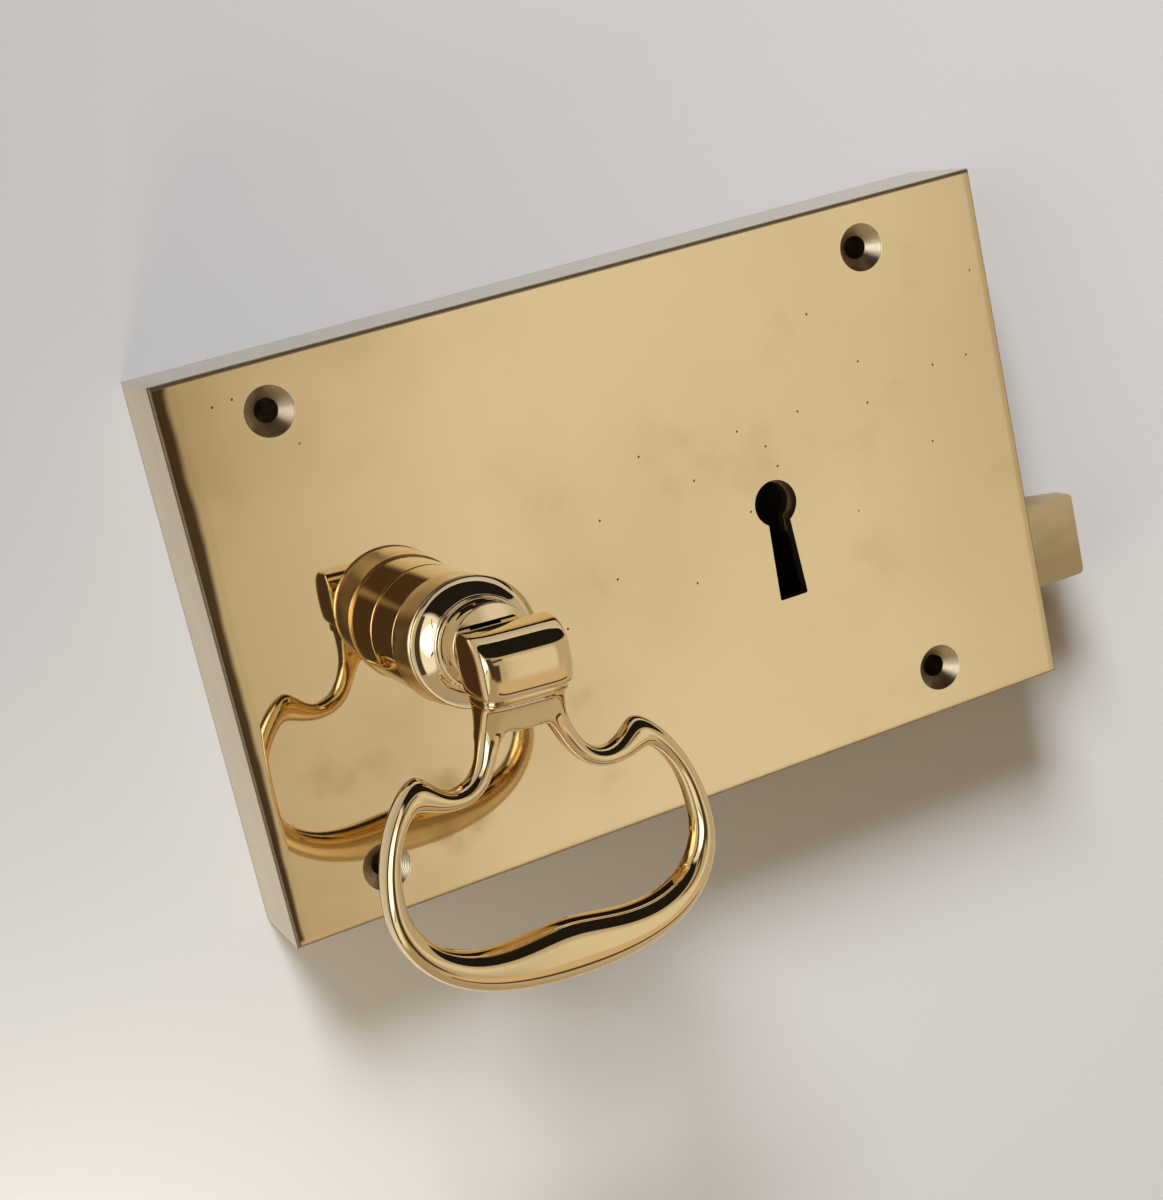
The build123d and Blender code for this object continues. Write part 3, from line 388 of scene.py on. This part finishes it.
# %% Its relief
turning_marks = (hole * 21.0).math("SINE") * sunk * 0.012
rough_cast = noise(tree, place, 900.0, detail=3.0) * inner * (1.0 - sunk) * 0.15
waves = noise(tree, place, 34.0, detail=1.0) * 0.035
height = waves - eased - pit * 0.12 - lines * 0.0012 + turning_marks + rough_cast
normal = node(tree, "ShaderNodeBump", {}, {"Height": height, "Strength": 1.0, "Distance": MM})
print("plate brass:", len(tree.nodes), "nodes with its relief")


# %% Its colour and how sharply it mirrors
def finish_metal(tree, colour, rough, normal):
    """Gives a material its surface: a bare metal with this colour, roughness and relief."""
    values = {"Base Color": colour, "Metallic": 1.0, "Roughness": rough, "Normal": normal}
    node(tree, "ShaderNodeOutputMaterial", {}, [node(tree, "ShaderNodeBsdfPrincipled", {}, values)])


colour = (0.85, 0.67, 0.385, 1)
coats = [
    (tarnish * 0.95, (0.52, 0.35, 0.16, 1)),
    # partly a duller finish, partly painted shade on the side walls
    (dull_and_shaded_sides * 0.85, (0.54, 0.43, 0.25, 1)),
    # painted dark reflection along the upper and left edges
    (edge * 0.9, (0.13, 0.09, 0.055, 1)),
    (pit, (0.10, 0.07, 0.04, 1)),
    (inner, (0.30, 0.225, 0.13, 1)),
    (sunk, (0.60, 0.50, 0.34, 1)),
]
for mask, coat in coats:
    colour = blend_colour(tree, mask, colour, coat)
rough = tarnish * 0.05 + lines * 0.025 + dull_and_shaded_sides * 0.05 + inner * 0.38 - sunk * 0.14 + 0.028
finish_metal(tree, colour, rough, normal)
print("plate brass:", len(coats), "coats,", len(tree.nodes), "nodes")

# %% [markdown]
# ## The shank's brass
#
# The rim behind the bulb was only turned and rubbed down, so it stays satin, with the fine lines of the
# tool round it. The collar, the bulb and the neck were polished. How far a point stands out from the door
# tells them apart, so one material does for all of them.

# %% A satin rim between polished pieces
shank_finish, tree, place = start_material("turned_and_polished_brass")
out = node(tree, "ShaderNodeSeparateXYZ", {}, [place], 1) * (-1 / MM)
satin = out.ramp(40.1, 40.3) * out.fade(50.9, 51.3)
tool_lines = noise(tree, place, 5200.0, detail=3.0, stretch=(0.02, 1, 0.02)) * satin * 0.010
mist = noise(tree, place, 130.0, detail=4.0).ramp(0.4, 0.7)
normal = node(tree, "ShaderNodeBump", {}, {"Height": tool_lines, "Strength": 1.0, "Distance": MM})
colour = blend_colour(tree, mist * satin * 0.6, (0.86, 0.70, 0.43, 1), (0.66, 0.47, 0.24, 1))
rough = satin * 0.13 + mist * satin * 0.06 + mist * 0.012 + 0.018
finish_metal(tree, colour, rough, normal)
print("shank brass:", len(tree.nodes), "nodes")

# %% [markdown]
# ## The other metals
#
# Brass is copper with zinc, and polishing makes a mirror of it. The other pieces differ in their metal, in
# how clean their mirror is and in how rough the file or the rolling mill left it: the handle is bright, the
# bolts are dull from use, and the works inside were never polished. One function with a few numbers covers
# them all.

# %% A plain metal
def metal(name, colour, roughness, cloud, cloud_size=30.0, scratch=0.0):
    """A bare metal: its colour, how sharp its mirror is, how cloudy it is and how deep its marks are."""
    made, tree, place = start_material(name)
    mist = noise(tree, place, cloud_size, detail=5.0).ramp(0.35, 0.72) * cloud
    marks = noise(tree, place, 2600.0, detail=4.0) * scratch
    normal = node(tree, "ShaderNodeBump", {}, {"Height": marks, "Strength": 1.0, "Distance": MM})
    tarnish = (*(0.82 * share for share in colour[:3]), 1)
    finish_metal(tree, blend_colour(tree, mist, colour, tarnish), mist * 0.25 + roughness, normal)
    print(name, "has", len(tree.nodes), "nodes")
    return made


bright_brass = metal("bright_brass", (0.83, 0.645, 0.36, 1), 0.02, 0.04)
dull_brass = metal("dull_brass", (0.62, 0.50, 0.29, 1), 0.30, 0.8, cloud_size=60, scratch=0.05)
turned_brass = metal("turned_brass", (0.60, 0.47, 0.27, 1), 0.22, 0.5, scratch=0.04)
bare_steel = metal("bare_steel", (0.52, 0.52, 0.52, 1), 0.28, 0.5, scratch=0.03)
blued_steel = metal("blued_steel", (0.16, 0.18, 0.23, 1), 0.25, 0.5)
rolled_steel = metal("rolled_steel", (0.36, 0.36, 0.37, 1), 0.38, 0.7, scratch=0.05)

# %% Which piece has which
slot_finish = {
    "case_brass": plate_brass,
    "shank_brass": shank_finish,
    "handle_brass": bright_brass,
    "bolt_brass": dull_brass,
    "pin_brass": turned_brass,
    "inner_brass": turned_brass,
    "steel": bare_steel,
    "spring_steel": blued_steel,
    "back_plate_steel": rolled_steel,
}
for part in frame["record"]["subparts"]:
    part_mesh = frame["nodes"][part["node"]].data
    part_mesh.materials.clear()
    part_mesh.materials.append(slot_finish[part["material_slot"]])

# %% [markdown]
# ## The handle's axis
#
# The handle is described by how far it stands in front of the plate, which is called reach here, by its
# height, and by its distance to the side of the shank's axis. One function turns those three into a place,
# so that all the tables below can be read against the photograph. A second one turns a piece as the handle
# hangs there: a little askew.

# %% Places on the handle
case_front = case_low.y / MM
collar_low, collar_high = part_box("shank_collar")
axis_x = (collar_low.x + collar_high.x) / 2 / MM
axis_z = (collar_low.z + collar_high.z) / 2 / MM
hinge_low, hinge_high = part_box("hinge_pin")
hinge_reach = case_front - (hinge_low.y + hinge_high.y) / 2 / MM
hinge_z = (hinge_low.z + hinge_high.z) / 2 / MM
print("shank axis x, z:", round(axis_x, 2), round(axis_z, 2))
print("hinge reach, z:", round(hinge_reach, 2), round(hinge_z, 2))


def at(side, reach, height):
    """The place, in metres, of a point of the handle given in millimetres."""
    return Vector((axis_x + side, case_front - reach, height)) * MM


def hang_askew(mesh, degrees=3.2):
    """Turns a piece about the shank by the few degrees that the handle hangs askew in the photograph."""
    turned_by = Matrix.Rotation(radians(degrees), 3, "Y")
    bmesh.ops.rotate(mesh, verts=mesh.verts, cent=at(0, 0, axis_z), matrix=turned_by)


# %% Making an object of a mesh
def link_piece(mesh, name, finish, body, stands_for):
    """Makes an object of a finished bmesh, with its finish and its body, and hides the CAD node it stands
    for.
    """
    bmesh.ops.recalc_face_normals(mesh, faces=mesh.faces)
    data = bpy.data.meshes.new(name)
    mesh.to_mesh(data)
    mesh.free()
    piece = bpy.data.objects.new(name, data)
    bpy.context.scene.collection.objects.link(piece)
    data.materials.append(finish)
    data.shade_smooth()
    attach(piece, body)
    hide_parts(stands_for)
    print(name, "has", len(data.polygons), "faces and stands for", stands_for)
    return piece


def new_verts(geometry):
    """The vertices among what an operator has made."""
    return [item for item in geometry if isinstance(item, bmesh.types.BMVert)]


# %% [markdown]
# ## The drop handle
#
# The real handle was cast from a carved pattern and then polished: a barrel head over a double bead, two
# arms that run out into horns, and a bow that swells into a grip. It is one flat outline with a changing
# depth, so one half of the outline is laid out as a strip of quads, pushed back to its depth, and
# mirrored. A narrow bevel holds the edges, and a subdivision surface makes the metal flow between them.

# %% The outline of the ring: outer side, inner side, half depth at its crown
ring_rows = [
    ((10.8, -20.6), (7.0, -21.0), 3.3),
    ((12.4, -23.4), (9.2, -25.8), 3.3),
    ((15.2, -25.4), (13.2, -29.0), 3.3),
    ((18.5, -25.2), (18.6, -29.6), 3.3),
    ((21.3, -22.9), (22.6, -28.6), 3.3),
    ((24.0, -20.3), (25.6, -27.4), 3.3),
    ((27.3, -22.1), (27.2, -28.6), 3.4),
    ((30.7, -26.2), (28.8, -30.6), 3.5),
    ((33.5, -31.1), (30.5, -33.7), 3.5),
    ((35.5, -36.9), (31.7, -38.1), 3.5),
    ((36.6, -42.8), (32.1, -42.9), 3.5),
    ((36.7, -47.8), (32.0, -46.9), 3.5),
    ((35.5, -52.9), (30.6, -50.8), 3.6),
    ((32.8, -57.8), (28.0, -54.2), 3.8),
    ((28.8, -62.0), (24.4, -56.6), 4.1),
    ((22.9, -65.6), (19.4, -58.3), 4.4),
    ((15.6, -67.9), (12.9, -58.6), 4.6),
    ((8.0, -69.1), (6.5, -57.8), 4.7),
    ((0.0, -69.4), (0.0, -57.0), 4.7),
]
ring_section = ((0.0, 0.52), (0.2, 0.84), (0.5, 1.0), (0.79, 0.84), (1.0, 0.5))
print("ring:", len(ring_rows), "rows, each with its share across and its share of the depth:", ring_section)

# %% The side outline of the head: height, half width, how far the front and the back stand out
head_rows = [
    (4.95, 9.4, 51.8, 45.6),
    (4.75, 9.6, 53.6, 45.0),
    (4.1, 9.75, 55.0, 43.9),
    (3.0, 9.85, 56.4, 43.2),
    (1.5, 9.9, 57.45, 42.95),
    (-0.2, 9.9, 58.0, 42.9),
    (-1.6, 9.9, 58.1, 42.9),
    (-3.6, 9.9, 58.05, 42.9),
    (-6.0, 9.8, 57.75, 42.9),
    (-7.5, 9.7, 57.3, 43.0),
    (-8.1, 9.3, 56.6, 43.1),
    (-8.35, 9.0, 55.0, 43.15),
    (-8.9, 8.95, 54.75, 43.2),
    (-9.2, 9.05, 55.3, 43.3),
    (-9.9, 9.05, 55.2, 43.4),
    (-10.2, 8.95, 54.0, 43.5),
    (-11.2, 9.0, 53.0, 43.6),
    (-14.0, 9.2, 51.7, 43.8),
    (-16.6, 9.6, 50.6, 43.5),
]
head_section = ((0.0, 0.0), (0.5, 0.05), (0.67, 0.2), (0.81, 0.62), (0.93, 1.2), (1.0, 2.2))
print("head:", len(head_rows), "rows, each with its share across and its drop in mm:", head_section)

# %% The front of half a handle
cage = bmesh.new()
rear = cage.verts.layers.float.new("rear")
front_rows = []
ring_top, ring_out, ring_lean = -20.4, 0.5, radians(7)


def lean(height):
    """How far the middle of the hanging ring stands out at a height: the handle leans out a little."""
    return hinge_reach + ring_out + (ring_top - height) * sin(ring_lean)


def add_row(places, rears):
    """One row of the cage's front, which remembers how far out its back will stand."""
    row = [cage.verts.new(place) for place in places]
    for vert, depth in zip(row, rears):
        vert[rear] = depth
    front_rows.append(row)


for level, half_width, front, back_reach in head_rows:
    places = [at(share * half_width, front - drop, level) for share, drop in head_section]
    add_row(places, [back_reach] * len(head_section))
for outer, inner_end, crown in ring_rows:
    places, rears = [], []
    for share, thickness in ring_section:
        side, level = (start + (end - start) * share for start, end in zip(inner_end, outer))
        places.append(at(side, lean(level) + crown * thickness, level))
        rears.append(lean(level) - crown * thickness)
    add_row(places, rears)
for upper, lower in zip(front_rows, front_rows[1:]):
    start = upper[-len(lower) :]
    for one, two, three, four in zip(start, start[1:], lower[1:], lower):
        cage.faces.new((one, two, three, four))
print("front of half a handle:", len(cage.faces), "quads")

# %% Its back, and the other half
nearly_same = 1e-6
pushed = bmesh.ops.extrude_face_region(cage, geom=cage.faces[:], use_keep_orig=True)["geom"]
for vert in new_verts(pushed):
    vert.co.y = (case_front - vert[rear]) * MM
on_axis = [f for f in cage.faces if all(abs(v.co.x - axis_x * MM) < nearly_same for v in f.verts)]
bmesh.ops.delete(cage, geom=on_axis, context="FACES")
bmesh.ops.mirror(
    cage,
    geom=cage.verts[:] + cage.edges[:] + cage.faces[:],
    matrix=Matrix.Translation((-axis_x * MM, 0, 0)),
    axis="X",
)
bmesh.ops.remove_doubles(cage, verts=cage.verts, dist=nearly_same)
bmesh.ops.recalc_face_normals(cage, faces=cage.faces)
open_edges = [e for e in cage.edges if not e.is_manifold]
print("handle cage:", len(cage.faces), "faces,", len(open_edges), "open edges")

# %% Held edges and flowing metal
arms_start, rim_angle, rim_bevel = -17 * MM, radians(62), 0.5 * MM
rims = [e for e in cage.edges if e.is_manifold and e.calc_face_angle() > rim_angle]
rims = [e for e in rims if min(v.co.z for v in e.verts) > arms_start]
bmesh.ops.bevel(
    cage, geom=rims, offset=rim_bevel, segments=2, profile=0.5, affect="EDGES", material=-1
)
print("bevelled", len(rims), "edges of the head")
hang_askew(cage)
handle = link_piece(cage, "drop_handle_bright", bright_brass, "ring", "drop_handle")
flow = handle.modifiers.new("flow", "SUBSURF")
flow.levels = flow.render_levels = 2

# %% [markdown]
# ## The slot for the lug
#
# The head swings on a pin through a lug, so its back is slotted: round in front of the pin, then open
# between two walls that stand as far apart as the handle's swing asks for. A saw and a file made it on the
# real handle. Here one solid of that shape is taken away after the metal has flowed, which keeps its edges.

# %% The outline of the cut: an arc in front of the pin, and a wall at each of its ends
slot_radius, slot_half_width, slot_depth = 3.95, 4.4, 17.0
first_bearing, arc, arc_steps = -41, 100, 12


def polar(radius, bearing):
    """Reach and height, from the pin, of a point at a bearing in degrees."""
    return radius * cos(radians(bearing)), radius * sin(radians(bearing))


slot_line = [polar(slot_radius, first_bearing + arc * step / arc_steps) for step in range(arc_steps + 1)]
wall_bearings = (first_bearing + arc + 90, first_bearing + 270)
for bearing, corner in zip(wall_bearings, (slot_line[-1], slot_line[0])):
    run = polar(slot_depth, bearing)
    slot_line.append((corner[0] + run[0], corner[1] + run[1]))
print("slot outline:", len(slot_line), "points, walls at", *wall_bearings, "degrees")

# %% The solid of that shape, and the cut
saw = bmesh.new()
cut_places = [at(-slot_half_width, hinge_reach + reach, hinge_z + rise) for reach, rise in slot_line]
cut_face = saw.faces.new([saw.verts.new(place) for place in cut_places])
cut_end = bmesh.ops.extrude_face_region(saw, geom=[cut_face], use_keep_orig=True)["geom"]
bmesh.ops.translate(saw, verts=new_verts(cut_end), vec=(2 * slot_half_width * MM, 0, 0))
hang_askew(saw)
bmesh.ops.recalc_face_normals(saw, faces=saw.faces)
saw_data = bpy.data.meshes.new("saw")
saw.to_mesh(saw_data)
saw_piece = bpy.data.objects.new("saw", saw_data)
bpy.context.scene.collection.objects.link(saw_piece)
sawing = handle.modifiers.new("slot", "BOOLEAN")
sawing.operation, sawing.solver, sawing.object = "DIFFERENCE", "EXACT", saw_piece
graph = bpy.context.evaluated_depsgraph_get()
cut_mesh = bpy.data.meshes.new_from_object(handle.evaluated_get(graph))
handle.modifiers.clear()
handle.data = cut_mesh
cut_mesh.shade_smooth()
cut_mesh.set_sharp_from_angle(angle=radians(38))
bpy.data.objects.remove(saw_piece)
print("handle:", len(cut_mesh.polygons), "faces after the slot")

# %% [markdown]
# ## The turned shank
#
# A lathe makes every round part of the handle from one profile, and so does the spin operator here. The
# profile gives reach and radius. Corners that the polisher kept crisp get a narrow bevel, and the bulb and
# the neck get enough points to be mirrors without facets.

# %% A lathe
def turned(profile, steps=128):
    """Spins a profile of (reach, radius) pairs about the shank's axis into a closed bmesh."""
    mesh = bmesh.new()
    verts = [mesh.verts.new(at(radius, reach, axis_z)) for reach, radius in profile]
    edges = [mesh.edges.new(pair) for pair in zip(verts, verts[1:])]
    bmesh.ops.spin(
        mesh,
        geom=verts + edges,
        cent=at(0, 0, axis_z),
        axis=(0, 1, 0),
        angle=2 * pi,
        steps=steps,
        use_merge=True,
    )
    bmesh.ops.remove_doubles(mesh, verts=mesh.verts, dist=nearly_same)
    return mesh


# %% A smooth curve for its profile
def curve_points(controls, steps):
    """Points on a smooth curve through the controls, for the bulb and the neck."""
    found = []
    padded = [controls[0], *controls, controls[-1]]
    for before, start, end, after in zip(padded, padded[1:], padded[2:], padded[3:]):
        for step in range(steps):
            t = step / steps
            weights = (
                ((2 - t) * t - 1) * t / 2,
                ((3 * t - 5) * t * t + 2) / 2,
                ((4 - 3 * t) * t + 1) * t / 2,
                (t - 1) * t * t / 2,
            )
            group = (before, start, end, after)
            found.append(tuple(sum(w * p[k] for w, p in zip(weights, group)) for k in (0, 1)))
    return [*found, controls[-1]]


# %% The shank's profile, from the journal inside the collar to the end of the neck
journal = [(1.0, 0.0), (1.0, 9.95), (14.85, 9.95), (14.85, 14.1), (15.1, 14.4)]
rim = curve_points([(15.3, 14.45), (18.5, 14.4), (22.0, 14.3), (25.3, 14.2)], 3)
groove = [(25.5, 13.9), (25.6, 13.3), (26.1, 13.3), (26.2, 13.9)]
bulb = [(26.3, 14.1), (27.0, 14.25), (27.9, 13.95), (28.9, 13.2), (29.9, 12.2), (30.7, 11.2), (31.1, 10.6)]
bead = [(31.15, 10.45), (31.5, 10.4), (31.65, 10.1)]
neck = [(31.75, 9.75), (32.3, 9.5), (33.5, 9.35), (35.2, 9.2), (37.0, 9.15), (39.1, 9.1)]
neck_end = [(39.2, 8.9), (39.2, 0.0)]
profile = [*journal, *rim, *groove, *curve_points(bulb, 6), *bead, *curve_points(neck, 4), *neck_end]
print("shank profile:", len(profile), "points")

# %% The shank, which rises a little on its way out, and its crisp edges
collar_end, rise_each_mm = 15.0, 0.09
shank = turned(profile)
for vert in shank.verts:
    past_collar = max(0.0, case_front - vert.co.y / MM - collar_end)
    vert.co.z += rise_each_mm * past_collar * MM
crisp = [e for e in shank.edges if e.is_manifold and e.calc_face_angle() > radians(28)]
bmesh.ops.bevel(
    shank,
    geom=crisp,
    offset=0.12 * MM,
    segments=2,
    profile=0.5,
    affect="EDGES",
    material=-1,
    clamp_overlap=True,
)
print("shank:", len(shank.faces), "faces,", len(crisp), "crisp edges")

# %% The hinge lug: an eye round the pin on a stem that goes back and down into the neck
eye_radius, lug_width, stem_width, stem_length, stem_height, lug_angle = 3.6, 8.0, 7.96, 11.5, 5.5, -49
eye = bmesh.ops.create_circle(shank, cap_ends=True, segments=40, radius=eye_radius * MM)["verts"]
bmesh.ops.rotate(shank, verts=eye, matrix=Matrix.Rotation(pi / 2, 3, "Y"))
bmesh.ops.translate(shank, verts=eye, vec=at(-lug_width / 2, hinge_reach, hinge_z))
eye_face = [f for f in shank.faces if all(v in eye for v in f.verts)]
raised = bmesh.ops.extrude_face_region(shank, geom=eye_face, use_keep_orig=True)["geom"]
bmesh.ops.translate(shank, verts=new_verts(raised), vec=(lug_width * MM, 0, 0))
stem = bmesh.ops.create_cube(shank, size=1)["verts"]
bmesh.ops.scale(shank, verts=stem, vec=(stem_width * MM, stem_length * MM, stem_height * MM))
bmesh.ops.translate(shank, verts=stem, vec=(0, stem_length / 2 * MM, 0))
bmesh.ops.rotate(shank, verts=stem, matrix=Matrix.Rotation(radians(lug_angle), 3, "X"))
bmesh.ops.translate(shank, verts=stem, vec=at(0, hinge_reach, hinge_z))
hang_askew(shank)
shank_piece = link_piece(shank, "shank_bright", shank_finish, "turning_shank", "knob_shank")
shank_piece.data.set_sharp_from_angle(angle=radians(32))

# %% [markdown]
# ## The fixed collar
#
# The collar is a plain sleeve, so the same lathe turns it from a closed profile. Its foot is turned back a
# little, which leaves the dark line where it meets the plate, and its front edge is eased so that it
# catches the window.

# %% Collar
collar_bore = [(14.5, 10.05), (-5.2, 10.05), (-5.2, 12.0), (0.0, 12.0)]
collar_foot = [(0.0, 13.6), (0.28, 13.65), (0.4, 14.0), (0.7, 14.1), (0.9, 14.1)]
collar_front = [(13.8, 14.1), (14.0, 14.1), (14.35, 13.95), (14.5, 13.6), (14.5, 10.05)]
collar = turned([*collar_bore, *collar_foot, *collar_front])
collar_piece = link_piece(collar, "collar_bright", shank_finish, "case", "shank_collar")
collar_piece.data.set_sharp_from_angle(angle=radians(25))
